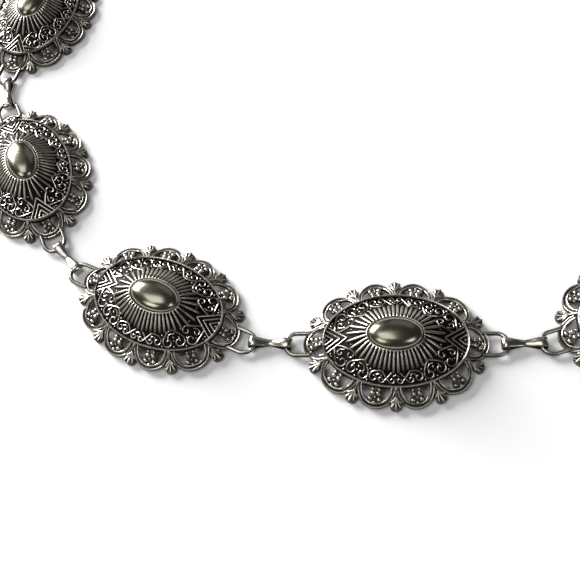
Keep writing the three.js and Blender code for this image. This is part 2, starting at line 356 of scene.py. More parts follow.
class Workshop:
    """Makes raised lines and small copies with geometry nodes."""

    def __init__(self, material: bpy.types.Material) -> None:
        """Builds both trees and the bead that is copied."""
        self.material = material
        self.lines = sweeping_tree()
        self.copies = copying_tree()
        self.bead = bpy.data.objects.new("bead", self.bead_mesh())
        bpy.context.scene.collection.objects.link(self.bead)

    def close(self) -> None:
        """Removes the bead, which is no piece of the belt."""
        bpy.data.objects.remove(self.bead)

    @staticmethod
    def bead_mesh(sides: int = 9, rings: int = 3) -> bpy.types.Mesh:
        """A half bead of radius 1 that stands on its flat side."""
        turns = np.linspace(0, 2 * math.pi, sides, endpoint=False)
        circle = [(math.cos(t), math.sin(t)) for t in turns]
        points = [(x, y, -BEAD_ROOT) for x, y in circle]
        for i in range(rings):
            rise = math.pi / 2 * i / rings
            points += [(math.cos(rise) * x, math.cos(rise) * y, math.sin(rise)) for x, y in circle]
        points.append((0, 0, 1))
        faces = [tuple(reversed(range(sides)))]
        for i in range(rings):
            for j in range(sides):
                k = (j + 1) % sides
                faces.append((i * sides + j, i * sides + k, (i + 1) * sides + k, (i + 1) * sides + j))
        last, top = rings * sides, (rings + 1) * sides
        faces += [(last + j, last + (j + 1) % sides, top) for j in range(sides)]
        mesh = bpy.data.meshes.new("bead")
        mesh.from_pydata(points, [], faces)
        return mesh

    def raised(self, strokes: list[Stroke], sides: int, worn: float = 0.15) -> Patch:
        """Round lines as one patch.

        Args:
            strokes: The lines.
            sides: How many sides their round section has.
            worn: How polished their sides are, as rubbed wear with painted shade where they face sideways.
                Below 0 the polish ends higher up.

        Returns:
            The lines' surfaces, polished on their crests, with painted shade on their sides.
        """
        points, edges, radius, shine = [], [], [], []
        for stroke in strokes:
            first = len(points)
            count = len(stroke.points)
            points.extend(map(tuple, stroke.points))
            edges.extend((first + i, first + i + 1) for i in range(count - 1))
            radius.extend(stroke.radius)
            shine.extend(stroke.shine)
        mesh = bpy.data.meshes.new("lines")
        mesh.from_pydata(points, edges, [])
        give_values(mesh, "thickness", np.array(radius))
        give_values(mesh, "shine", np.array(shine))
        made = self.lines.run(mesh, Sides=sides, Material=self.material)
        # Painted shade: the polish falls as the surface turns from facing up to facing sideways, on top of
        # rubbed crests
        crest = np.clip(worn + (CREST_GAIN - worn) * upward(made), 0, 1)
        return patch_of(made, mesh_values(made, "shine") * crest)

    def beads(self, places: Places, shine: float = 1.0) -> Patch:
        """Copies of the bead as one patch.

        Args:
            places: Where they stand, and how large they are.
            shine: How polished their tops are.

        Returns:
            The beads' surfaces.
        """
        mesh = bpy.data.meshes.new("places")
        mesh.from_pydata(places.points, [], [])
        give_values(mesh, "facing", np.array([(0.0, 0.0, turn) for turn in places.turns]))
        give_values(mesh, "size", np.array(places.sizes))
        made = self.copies.run(mesh, Shape=self.bead, Material=self.material)
        # Painted shade on the beads' sides: polish falls where they face sideways, on top of rubbed tops
        crest = np.clip(BEAD_SIDE_POLISH_AND_SHADE + BEAD_POLISH_GAIN * upward(made), 0, 1)
        return patch_of(made, shine * crest)


# The concho's ornament


@dataclass(frozen=True)
class Ridge:
    """A straight raised line of the field's ornament, in millimetres."""

    start: tuple[float, float]
    end: tuple[float, float]

    def path(self) -> np.ndarray:
        """Its points on the flat."""
        return np.linspace(np.array(self.start), np.array(self.end), 7)


@dataclass(frozen=True)
class Volute:
    """A raised line that runs in from its start and winds up round a centre, in millimetres."""

    start: tuple[float, float]
    centre: tuple[float, float]
    radius: float
    last_radius: float
    turns: float
    bow: float = 0.0

    def path(self) -> np.ndarray:
        """Its points on the flat: the run-in, then the winding. Anticlockwise where turns is positive."""
        start, centre = np.array(self.start), np.array(self.centre)
        hand = math.copysign(1.0, self.turns)
        arm = start - centre
        reach = float(np.linalg.norm(arm))
        meets = math.atan2(arm[1], arm[0]) + hand * math.acos(min(1.0, self.radius / reach))
        touch = centre + self.radius * np.array([math.cos(meets), math.sin(meets)])
        chord = touch - start
        along = chord / np.linalg.norm(chord)
        away = hand * np.array([along[1], -along[0]])
        leaves = math.cos(self.bow) * along + math.sin(self.bow) * away
        pull = np.linalg.norm(chord) / 3
        first, second = start + leaves * pull, touch - along * pull
        share = np.linspace(0, 1, 6)[:-1, None]
        lead = (
            (1 - share) ** 3 * start
            + 3 * (1 - share) ** 2 * share * first
            + 3 * (1 - share) * share**2 * second
            + share**3 * touch
        )
        steps = max(6, round(abs(self.turns) * 19))
        share = np.linspace(0, 1, steps)
        angle = meets + share * self.turns * 2 * math.pi
        radius = self.radius + (self.last_radius - self.radius) * share**0.8
        coil = centre + radius[:, None] * np.stack([np.cos(angle), np.sin(angle)], axis=1)
        return np.vstack([lead, coil])


class Motif(Enum):
    """The raised figures in one quarter of the field's band, as strokes of the quarter at +X and +Y."""

    CHEVRON = (
        Ridge((16.4, 0.0), (23.4, 4.9)),
        Ridge((18.8, 0.0), (24.0, 3.65)),
        Ridge((21.2, 0.0), (24.1, 2.05)),
        Ridge((24.0, 0.0), (24.0, 2.0)),
    )
    LARGE_HEART = (
        Volute((19.75, 2.35), (15.3, 6.0), 1.55, 0.5, -0.92, 0.3),
        Volute((20.65, 3.2), (18.1, 7.9), 2.1, 0.65, 0.9, 0.08),
        Volute((17.1, 4.05), (18.75, 4.95), 1.1, 0.6, 0.8),
    )
    SLANTED_HEART = (
        Volute((10.3, 8.2), (14.75, 10.3), 2.2, 0.7, 1.05, 0.25),
        Volute((10.3, 8.2), (11.3, 12.3), 2.1, 0.5, -1.05, 0.3),
        Volute((12.1, 8.8), (11.9, 10.6), 1.5, 1.4, -0.36),
        Ridge((13.7, 8.8), (15.0, 10.1)),
    )
    SMALL_HEART = (
        Volute((4.7, 11.75), (7.45, 13.45), 1.75, 0.45, 1.05, 0.25),
        Volute((1.4, 12.5), (5.0, 14.3), 1.1, 0.4, -0.95),
        Volute((6.5, 12.9), (5.6, 13.25), 0.75, 0.75, -0.4),
    )
    MIDDLE_SCROLL = (
        Volute((4.7, 11.75), (1.3, 14.75), 1.0, 0.4, 0.95),
        Ridge((0.0, 13.05), (1.1, 13.6)),
    )


@dataclass(frozen=True)
class Scallop:
    """One arch of the border between two fans, as half an oval on the rim, in millimetres."""

    foot: np.ndarray
    along: np.ndarray
    out: np.ndarray
    half_span: float
    depth: float

    def at(self, a: float, o: float) -> np.ndarray:
        """The point so far along the rim and out from it."""
        return self.foot + self.along * a + self.out * o

    def arch(self, inset: float, share: float) -> np.ndarray:
        """A point on the arch.

        Args:
            inset: How far inside the arch's outer edge the point lies.
            share: How far round the arch, from 0 at one foot to 1 at the other.

        Returns:
            The point.
        """
        turn = math.pi * share
        width, depth = self.half_span - inset * ARCH_SIDE_SHARE, self.depth - inset
        return self.at(-width * math.cos(turn), depth * math.sin(turn))


@dataclass
class ConchoSizes:
    """A concho's sizes, as the solids have them, in millimetres."""

    outer: Oval = Oval(32.0, 23.9)
    rim: Oval = Oval(25.0, 17.1)
    rib_tips: Oval = Oval(16.5, 12.4)
    end_rib_tips: Oval = Oval(17.3, 12.4)
    rib_roots: Oval = Oval(9.95, 6.5)
    fan_turns: tuple[int, ...] = (22, 60, 90, 120, 158, 202, 240, 270, 300, 338)
    fan_reach: float = 0.3
    fan_width: float = 4.6
    edge_height: float = 2.3
    border_rise: float = 2.9
    back_share: float = 1.2
    arch_lift: float = 0.5
    arch_fall: float = 0.27
    foot_band: float = 2.4
    rib_count: int = 44
    line_radius: float = 0.32
    wire_radius: float = 0.75
    loop_radius: float = 4.0
    loop_centre: float = 33.95
    wire_height: float = 1.85
    loop_leg: tuple[float, float] = (29.4, 31.5)
    rib_radius: float = 0.4
    rib_overlap: float = 0.25
    middle_rib_zone: float = 1.0
    middle_rib_extra: float = 0.7
    end_rib_zone: float = 2.2
    line_rise: float = 0.16
    line_end_share: float = 0.6
    line_polish: float = 0.95
    bead_rise: float = 1.15
    arch_steps: int = 31
    arch_overlap: float = 0.03
    arch_band: float = 1.9
    fan_plate_drop: float = 0.4
    neck_share: float = 0.34
    flute_share: float = 0.6
    flute_drop: float = 0.2
    flute_polish: float = 0.9
    bend_share: float = 0.16
    bend_spread: float = 0.9
    stem_overlap: float = 0.3
    stem_share: float = 0.4
    stem_drop: float = 0.3
    stem_polish: float = 0.85
    rosette_share: float = 0.45
    rosette_drop: float = 0.7
    rosette_plate_drop: float = 0.75


# The field from its back to its top: half length, half width, height and polish, ring by ring
FIELD_RINGS = (
    (0.6, 0.4, 12.2, 0.3),
    (9.0, 5.4, 9.9, 0.3),
    (16.5, 11.8, 6.0, 0.3),
    (23.2, 15.4, 3.8, 0.3),
    (24.6, 16.7, 3.6, 0.2),
    (25.0, 17.1, 3.9, 0.0),
    (25.0, 17.1, 5.1, 0.25),
    (24.93, 17.03, 5.7, 0.35),
    (24.78, 16.88, 6.15, 0.8),
    (24.58, 16.68, 6.3, 1.0),
    (24.36, 16.46, 6.15, 0.9),
    (24.2, 16.3, 5.75, 0.2),
    (23.9, 16.0, 5.4, 0.0),
    (22.0, 14.75, 5.75, 0.0),
    (19.4, 13.3, 6.55, 0.0),
    (16.9, 12.1, 7.4, 0.0),
    (14.7, 10.3, 8.45, 0.0),
    (12.7, 8.6, 9.55, 0.0),
    (11.0, 7.4, 10.5, 0.0),
    (10.1, 6.65, 11.1, 0.0),
    (9.95, 6.5, 11.3, 0.4),
    (9.8, 6.38, 11.6, 0.95),
    (9.6, 6.2, 11.7, 1.0),
    (9.42, 6.02, 11.6, 0.6),
    (9.3, 5.9, 11.35, 0.1),
)
STONE_RINGS = (
    (8.6, 4.9, 11.0, 0.3),
    (9.28, 5.88, 11.1, 0.3),
    (9.2, 5.82, 11.5, 0.9),
    (8.95, 5.64, 12.05, 1.0),
    (8.3, 5.2, 12.75, 1.0),
    (7.2, 4.5, 13.38, 1.0),
    (5.7, 3.55, 13.88, 1.0),
    (3.9, 2.4, 14.2, 1.0),
    (1.9, 1.1, 14.36, 1.0),
    (0.3, 0.2, 14.4, 1.0),
)
# An arch's section: inset from its outer edge, height over the border's face and polish. The lowest points
# stop at the border's underside.
ARCH_SECTION = (
    (0.25, -9.0, 0.3),
    (0.0, -1.3, 0.15),
    (0.03, -0.25, 0.5),
    (0.16, 0.02, 1.0),
    (0.34, 0.0, 0.85),
    (0.5, -0.14, 0.3),
    (0.85, -0.24, 0.24),
    (1.04, -0.24, 0.12),
    (1.14, 0.04, 0.5),
    (1.3, 0.3, 1.0),
    (1.58, 0.34, 1.0),
    (1.8, 0.12, 0.75),
    (1.92, -0.4, 0.3),
    (1.75, -9.0, 0.3),
)
# Small beads in the gaps of one quarter of the band: place and radius
GAP_BEADS = (
    (21.95, 4.95, 0.42),
    (21.6, 5.9, 0.34),
    (17.4, 10.5, 0.45),
    (13.7, 12.7, 0.42),
    (9.7, 14.25, 0.4),
    (8.35, 11.0, 0.38),
    (14.9, 2.7, 0.36),
    (13.3, 6.3, 0.34),
    (12.2, 9.9, 0.5),
    (12.9, 10.9, 0.34),
    (19.4, 6.7, 0.34),
    (18.3, 2.75, 0.34),
    (9.2, 9.7, 0.36),
    (22.7, 5.6, 0.3),
    (16.4, 8.0, 0.36),
)
MIDDLE_BEADS = ((23.3, 0.0, 0.38), (0.0, 14.3, 0.28))
# A rib from its root to its tip: thickness as a share of its radius, rise over the field and polish
RIB_STATIONS = (
    (0.8, 0.3, 1.0),
    (0.98, 0.36, 1.0),
    (1.15, 0.38, 1.0),
    (1.28, 0.36, 1.0),
    (1.38, 0.28, 0.9),
    (1.46, 0.2, 0.75),
    (1.48, 0.14, 0.65),
    (1.3, 0.08, 0.65),
    (0.6, -0.1, 0.6),
)
# A border plate's section: place across as a share of its half width, and fall under its face, or None for
# the border's underside
PLATE_SECTION = ((-1.0, None), (1.0, None), (1.0, 0.25), (0.7, 0.0), (-0.7, 0.0), (-1.0, 0.25))
PLATE_POLISH = 0.3
# A fan's plate: distance from the rim and half width of its foot, then both as shares of the fan's for its leaf
FAN_FOOT = ((-0.4, 1.5), (0.8, 1.15))
FAN_LEAF = ((0.32, 0.42), (0.55, 0.7), (0.76, 0.86), (0.87, 0.6), (0.92, 0.2))
# One fan: each flute's sideways turn in degrees and its length as a share of the middle one
FAN_FLUTES = ((-46, 0.66), (-25, 0.9), (0, 1.0), (25, 0.9), (46, 0.66))
# A flute from the neck to its tip: radius and rise, and the stem's radii from the rim to the neck
FLUTE_STATIONS = (
    (0.2, 0.05),
    (0.28, 0.12),
    (0.36, 0.14),
    (0.44, 0.12),
    (0.52, 0.08),
    (0.54, 0.0),
    (0.34, -0.12),
)
STEM_RADII = (0.85, 0.75, 0.62, 0.5, 0.42, 0.25)
# A rosette's plate: distance and half width, from the rim, and then from its arch's inner edge
ROSETTE_FOOT = ((-0.3, 1.7), (0.8, 1.4), (1.7, 1.9), (2.9, 2.25))
ROSETTE_HEAD = ((-0.9, 2.1), (0.2, 1.5))
# The rosette's heart, petals and leaves, each as length, width and height
ROSETTE_HEART = (0.55, 0.55, 0.95)
PETAL = (1.05, 0.92, 0.8)
PETAL_COUNT = 5
PETAL_CIRCLE = 1.6
FOOT_LEAF, FOOT_LEAF_PLACE = (0.75, 0.6, 0.65), (1.05, 0.55)  # on the rim
SIDE_LEAF, SIDE_LEAF_PLACE = (0.5, 0.42, 0.55), (1.75, 1.6)  # beside the outer petals


# Roundness, and how polished the sides of wires and flutes are, as rubbed wear with painted shade
FIELD_COLUMNS, STONE_COLUMNS = 120, 96
RIB_SIDES, LINE_SIDES, FLUTE_SIDES, WIRE_SIDES = 8, 6, 7, 12
FLUTE_SIDE_WEAR_AND_SHADE, WIRE_SIDE_WEAR_AND_SHADE, ROSETTE_POLISH = -0.2, -0.5, 0.85


class Concho:
    """One cast oval: domed field, pierced border and two soldered wire loops."""

    def __init__(self, sizes: ConchoSizes, workshop: Workshop) -> None:
        """Keeps the sizes and the workshop."""
        self.sizes = sizes
        self.workshop = workshop

    def scallops(self) -> list[Scallop]:
        """The ten arches between neighbouring fans."""
        made = []
        turns = self.sizes.fan_turns
        for first, second in zip(turns, (*turns[1:], turns[0] + 360)):
            turn = math.radians((first + second) / 2)
            foot, out = self.sizes.rim.at(turn), self.sizes.rim.out(turn)
            ends = [self.sizes.rim.at(math.radians(t)) for t in (first, second)]
            depth = float((self.sizes.outer.at(turn) - foot) @ out) - self.sizes.arch_fall
            half_span = float(np.linalg.norm(ends[0] - ends[1])) / 2
            made.append(Scallop(foot, np.array([-out[1], out[0]]), out, half_span, depth))
        return made

    def floor(self, points: np.ndarray) -> np.ndarray:
        """The height of the field under its ornament.

        Args:
            points: Places on the flat.

        Returns:
            The heights there.
        """
        rings = [ring for ring in FIELD_RINGS if ring[0] < 24.0 and ring[3] == 0.0]
        height = np.full(points.shape[:-1], rings[0][2])
        for outer, inner in zip(rings, rings[1:]):
            beyond = 1 - Oval(*outer[:2]).level(points)
            within = Oval(*inner[:2]).level(points) - 1
            between = (beyond >= 0) & (within >= 0)
            share = beyond / np.maximum(beyond + within, 1e-9)
            height = np.where(between, outer[2] + (inner[2] - outer[2]) * share, height)
            height = np.where(within < 0, inner[2], height)
        return height

    def border_top(self, point: np.ndarray) -> float:
        """The height of the border's face at a place."""
        turn = math.atan2(point[1], point[0])
        way = np.array([math.cos(turn), math.sin(turn)])
        inner = self.sizes.rim.beyond(np.zeros(2), way)
        outer = self.sizes.outer.beyond(np.zeros(2), way) - self.sizes.foot_band
        share = min(1.0, max(0.0, (float(np.linalg.norm(point)) - inner) / (outer - inner)))
        return self.sizes.edge_height + self.sizes.border_rise * (1 - share)

    def border_back(self, point: np.ndarray) -> float:
        """The height of the border's underside at a place, which rises from the table towards the rim."""
        return (self.border_top(point) - self.sizes.edge_height) * self.sizes.back_share

    def turned_rings(self, rings: tuple[tuple[float, ...], ...], columns: int) -> Patch:
        """Oval rings as one surface."""
        turns = np.linspace(0, 2 * math.pi, columns, endpoint=False)
        sections = np.array(
            [[(a * math.cos(t), b * math.sin(t), z) for t in turns] for a, b, z, _ in rings]
        )
        polish = np.array([[shine] * columns for *_, shine in rings])
        return loft(sections, polish)

    def stone(self) -> Patch:
        """The plain polished boss at the top."""
        made = self.turned_rings(STONE_RINGS, STONE_COLUMNS)
        made.plain = True
        return made

    def ribs(self) -> list[Stroke]:
        """The long ribs that stand round the boss, square to its outline."""
        roots = self.sizes.rib_roots
        fine = np.linspace(0, 2 * math.pi, 1441)
        path = np.array([roots.at(t) for t in fine])
        run = np.concatenate([[0], np.cumsum(np.linalg.norm(np.diff(path, axis=0), axis=1))])
        wanted = (np.arange(self.sizes.rib_count) + 0.5) / self.sizes.rib_count * run[-1]
        swell, lift, shine = np.array(RIB_STATIONS).T
        share = np.linspace(0, 1, len(RIB_STATIONS))
        strokes = []
        for turn in np.interp(wanted, run, fine):
            start, way = roots.at(turn), roots.out(turn)
            near_end = abs(start[1]) < self.sizes.end_rib_zone
            tips = self.sizes.end_rib_tips if near_end else self.sizes.rib_tips
            length = tips.beyond(start, way)
            if abs(start[0]) < self.sizes.middle_rib_zone:
                length += self.sizes.middle_rib_extra
            flat = start + way * (share * length)[:, None] - way * self.sizes.rib_overlap
            height = self.floor(flat) + lift
            strokes.append(Stroke.over(flat, height, self.sizes.rib_radius * swell, shine))
        return strokes

    def field_strokes(self) -> list[Stroke]:
        """The hearts, scrolls and chevrons in the four quarters of the band."""
        strokes = []
        for motif in Motif:
            for line in motif.value:
                flat = line.path()
                for way in ((1, 1), (-1, 1), (-1, -1), (1, -1)):
                    placed = flat * way
                    radius = np.full(len(placed), self.sizes.line_radius)
                    radius[-1] *= self.sizes.line_end_share
                    height = self.floor(placed) + self.sizes.line_rise
                    strokes.append(Stroke.over(placed, height, radius, self.sizes.line_polish))
        return strokes

    def field_beads(self) -> Places:
        """The small beads in the gaps of the band."""
        places = Places()
        quarters = [(x * sx, y * sy, r) for x, y, r in GAP_BEADS for sx in (1, -1) for sy in (1, -1)]
        middles = [(x * s, y * s, r) for x, y, r in MIDDLE_BEADS for s in (1, -1)]
        for x, y, r in quarters + middles:
            height = float(self.floor(np.array([x, y])))
            places.add((x, y, height), (r, r, r * self.sizes.bead_rise))
        return places

    def arch(self, scallop: Scallop) -> Patch:
        """One arch of the border, with its bright inner ring and its dished flange."""
        overlap = self.sizes.arch_overlap
        shares = np.linspace(-overlap, 1 + overlap, self.sizes.arch_steps)
        sections, polish = [], []
        for share in shares:
            section = []
            for inset, height, _ in ARCH_SECTION:
                point = scallop.arch(inset, share)
                top = self.border_top(point)
                low = self.border_back(point) + self.sizes.arch_lift
                section.append((*point, max(low, top + height)))
            sections.append(section)
            polish.append([shine for *_, shine in ARCH_SECTION])
        return loft(np.array(sections), np.array(polish))

    def plate(
        self,
        start: np.ndarray,
        way: np.ndarray,
        stations: tuple[tuple[float, float], ...],
        drop: float,
    ) -> Patch:
        """A flat plate of the border that widens and narrows along a line.

        Args:
            start: Where the line starts.
            way: The line's direction.
            stations: How far along the line each section stands, and its half width.
            drop: How far the plate's face lies under the border's face.

        Returns:
            The plate.
        """
        side = np.array([-way[1], way[0]])
        sections = []
        for distance, half in stations:
            section = []
            for across, fall in PLATE_SECTION:
                point = start + way * distance + side * across * half
                top = self.border_top(point) - drop
                section.append((*point, self.border_back(point) if fall is None else top - fall))
            sections.append(section)
        return loft(np.array(sections), np.full((len(stations), len(PLATE_SECTION)), PLATE_POLISH))

    def fan_line(self, turn: float) -> tuple[np.ndarray, np.ndarray, float]:
        """Where a fan starts on the rim, its direction and its length."""
        start = self.sizes.rim.at(turn)
        tip = self.sizes.outer.at(turn) + self.sizes.outer.out(turn) * self.sizes.fan_reach
        way = tip - start
        length = float(np.linalg.norm(way))
        return start, way / length, length

    def fan_plate(self, turn: float) -> Patch:
        """The plate under a fan's flutes."""
        start, way, length = self.fan_line(turn)
        half = self.sizes.fan_width / 2
        leaf = tuple((length * distance, half * width) for distance, width in FAN_LEAF)
        return self.plate(start, way, FAN_FOOT + leaf, self.sizes.fan_plate_drop)

    def fan_flutes(self, turn: float) -> list[Stroke]:
        """The five flutes of a fan, which part from its neck."""
        start, way, length = self.fan_line(turn)
        side = np.array([-way[1], way[0]])
        sizes = self.sizes
        neck = start + way * length * sizes.neck_share
        swell, lift = np.array(FLUTE_STATIONS).T
        steps = np.linspace(0, 1, len(FLUTE_STATIONS))
        strokes = []
        for degrees, share in FAN_FLUTES:
            lean = math.radians(degrees)
            flute = length * sizes.flute_share * share
            end = neck + (way * math.cos(lean) + side * math.sin(lean)) * flute
            bend = neck + way * length * sizes.bend_share + side * math.sin(lean) * sizes.bend_spread
            flat = (
                (1 - steps[:, None]) ** 2 * neck
                + 2 * (1 - steps[:, None]) * steps[:, None] * bend
                + steps[:, None] ** 2 * end
            )
            height = np.array([self.border_top(point) for point in flat]) - sizes.flute_drop + lift
            strokes.append(Stroke.over(flat, height, swell, sizes.flute_polish))
        swell = np.array(STEM_RADII)
        along = np.linspace(-sizes.stem_overlap, length * sizes.stem_share, len(swell))
        stem = start + way * along[:, None]
        height = np.array([self.border_top(point) for point in stem]) - sizes.stem_drop
        strokes.append(Stroke.over(stem, height, swell, sizes.stem_polish))
        return strokes

    def rosette_plate(self, scallop: Scallop) -> Patch:
        """The plate that carries a rosette between the rim and its arch."""
        reach = scallop.depth - self.sizes.arch_band
        head = tuple((reach + distance, half) for distance, half in ROSETTE_HEAD)
        return self.plate(scallop.foot, scallop.out, ROSETTE_FOOT + head, self.sizes.rosette_plate_drop)

    def rosette_beads(self, scallop: Scallop) -> Places:
        """A rosette's middle, its five petals and the small leaves beside it."""
        places = Places()
        middle = scallop.depth * self.sizes.rosette_share
        spots = [(0.0, middle, *ROSETTE_HEART)]
        for k in range(PETAL_COUNT):
            turn = 2 * math.pi * k / PETAL_COUNT + math.pi / 2
            across, out = PETAL_CIRCLE * math.cos(turn), PETAL_CIRCLE * math.sin(turn)
            spots.append((across, middle + out, *PETAL))
        for side in (-1, 1):
            spots.append((side * FOOT_LEAF_PLACE[0], FOOT_LEAF_PLACE[1], *FOOT_LEAF))
            spots.append((side * SIDE_LEAF_PLACE[0], middle + SIDE_LEAF_PLACE[1], *SIDE_LEAF))
        base = math.atan2(scallop.out[1], scallop.out[0])
        for a, o, long, wide, high in spots:
            point = scallop.at(a, o)
            turn = base + math.atan2(-a, o - middle)
            top = self.border_top(point) - self.sizes.rosette_drop
            places.add((*point, top), (long, wide, high), turn)
        return places

    def loops(self) -> list[Stroke]:
        """The two soldered wire loops."""
        radius, centre = self.sizes.loop_radius, self.sizes.loop_centre
        turns = np.linspace(-math.pi / 2, math.pi / 2, 25)
        arc = [(centre + radius * math.cos(t), radius * math.sin(t)) for t in turns]
        there = [(x, -radius) for x in self.sizes.loop_leg]
        back = [(x, radius) for x in reversed(self.sizes.loop_leg)]
        flat = np.array([*there, *arc, *back])
        sizes = self.sizes
        return [
            Stroke.over(flat * way, sizes.wire_height, sizes.wire_radius, sizes.line_polish)
            for way in (1, -1)
        ]

    def patches(self) -> list[Patch]:
        """All surfaces of a concho, in its own place."""
        shop = self.workshop
        scallops = self.scallops()
        turns = [math.radians(turn) for turn in self.sizes.fan_turns]
        made = [self.turned_rings(FIELD_RINGS, FIELD_COLUMNS), self.stone()]
        made += [self.arch(scallop) for scallop in scallops]
        made += [self.fan_plate(turn) for turn in turns]
        made += [self.rosette_plate(scallop) for scallop in scallops]
        made.append(shop.raised(self.ribs(), RIB_SIDES))
        made.append(shop.raised(self.field_strokes(), LINE_SIDES))
        flutes = [flute for turn in turns for flute in self.fan_flutes(turn)]
        made.append(shop.raised(flutes, FLUTE_SIDES, FLUTE_SIDE_WEAR_AND_SHADE))
        made.append(shop.beads(self.field_beads()))
        made += [shop.beads(self.rosette_beads(scallop), ROSETTE_POLISH) for scallop in scallops]
        made.append(shop.raised(self.loops(), WIRE_SIDES, WIRE_SIDE_WEAR_AND_SHADE))
        return made


# Links and hook


@dataclass
class Band:
    """A folded band that holds the wire loops, in millimetres."""

    length: float = 15.8
    end_width: float = 3.6
    waist_width: float = 2.1
    wall: float = 0.7
    outer_radius: float = 1.85
    waist_height: float = 1.5
    middle_height: float = 1.85

    def half_path(self) -> list[tuple[float, float]]:
        """The wall's middle line from the waist's top, round the +X eye, to the waist's underside."""
        radius = self.outer_radius - self.wall / 2 - 0.03
        centre = self.length / 2 - self.outer_radius
        low = self.waist_height / 4
        rise = [
            (centre * s, low + (radius - low) * (3 * s**2 - 2 * s**3)) for s in np.linspace(0.04, 1, 10)
        ]
        arc = [
            (centre + radius * math.cos(t), radius * math.sin(t))
            for t in np.linspace(math.pi / 2, -math.pi / 2, 13)[1:-1]
        ]
        return rise + arc + [(x, -z) for x, z in reversed(rise)]

    def section(self, x: float, z: float, way: np.ndarray) -> list[tuple[float, float, float]]:
        """The band's rounded section at a point of its path.

        Args:
            x: The point's place along the band.
            z: The point's height.
            way: The path's direction there.

        Returns:
            The section's points.
        """
        share = min(1.0, abs(x) / (self.length / 2 - self.outer_radius))
        half = (self.waist_width + (self.end_width - self.waist_width) * share) / 2
        thick = self.wall / 2
        normal = np.array([-way[1], way[0]])
        outline = (
            (-half, -thick * 0.5),
            (-half, thick * 0.5),
            (-half * 0.86, thick),
            (half * 0.86, thick),
            (half, thick * 0.5),
            (half, -thick * 0.5),
            (half * 0.86, -thick),
            (-half * 0.86, -thick),
        )
        return [(x + normal[0] * t, w, z + normal[1] * t) for w, t in outline]

    def swept(self, path: np.ndarray, closed: bool) -> Patch:
        """The band along its path."""
        before = np.roll(path, 1, axis=0)
        after = np.roll(path, -1, axis=0)
        if not closed:
            before[0], after[-1] = path[0], path[-1]
        ways = (after - before) / np.linalg.norm(after - before, axis=1)[:, None]
        sections = np.array([self.section(x, z, way) for (x, z), way in zip(path, ways)])
        sections[..., 2] += self.middle_height
        # Painted shade: the band's top is bright and its sides and underside dark, on top of rubbed wear
        polish = np.tile(np.array([0.15, 0.45, 1.0, 1.0, 0.45, 0.15, 0.2, 0.2]), (len(path), 1))
        return loft(sections, polish, closed)

    def link(self) -> Patch:
        """The link: a closed figure of eight with its two folds on each other."""
        half = self.half_path()
        return self.swept(np.array(half + [(-x, -z) for x, z in half]), True)

    def hook(self) -> Patch:
        """The hook: a closed eye at its -X end and an open one at its +X end."""
        half = self.half_path()
        closed_eye = [(-x, z) for x, z in half]
        open_eye = half[: len(half) - 9]
        tip_x, tip_z = open_eye[-1]
        path = list(reversed(closed_eye)) + open_eye + [(tip_x - 0.5, tip_z), (tip_x - 0.9, tip_z - 0.02)]
        return self.swept(np.array(path), False)


# Finishes


@dataclass(frozen=True)
class AntiqueFinish:
    """Silver plate that is dark in its recesses and polished on its crests."""

    name: str = "antique silver"
    bright: tuple[float, float, float, float] = (0.51, 0.483, 0.435, 1.0)
    tarnished: tuple[float, float, float, float] = (0.215, 0.19, 0.155, 1.0)
    dark: tuple[float, float, float, float] = (0.012, 0.011, 0.01, 1.0)
    crest_roughness: float = 0.2
    recess_roughness: float = 0.55
    grain: float = 2200.0
    clouding: float = 90.0
    relief: float = 0.00003


def wear_group() -> bpy.types.ShaderNodeTree:
    """A shader group that gives a plate's mottling and fine pits as masks."""
    group = bpy.data.node_groups.new("Worn plate", "ShaderNodeTree")
    face = group.interface
    for name, value in (("Clouding", 90.0), ("Grain", 2200.0)):
        face.new_socket(name, in_out="INPUT", socket_type="NodeSocketFloat").default_value = value
    for name in ("Mottle", "Pits"):
        face.new_socket(name, in_out="OUTPUT", socket_type="NodeSocketFloat")
    entry = group.nodes.new("NodeGroupInput")
    leave = group.nodes.new("NodeGroupOutput")
    place = group.nodes.new("ShaderNodeTexCoord")
    for source, target, detail in (("Clouding", "Mottle", 4.0), ("Grain", "Pits", 2.0)):
        noise = grown(group, "ShaderNodeTexNoise", Detail=detail, Scale=entry.outputs[source])
        group.links.new(place.outputs["Object"], noise.inputs["Vector"])
        group.links.new(noise.outputs["Fac"], leave.inputs[target])
    return group


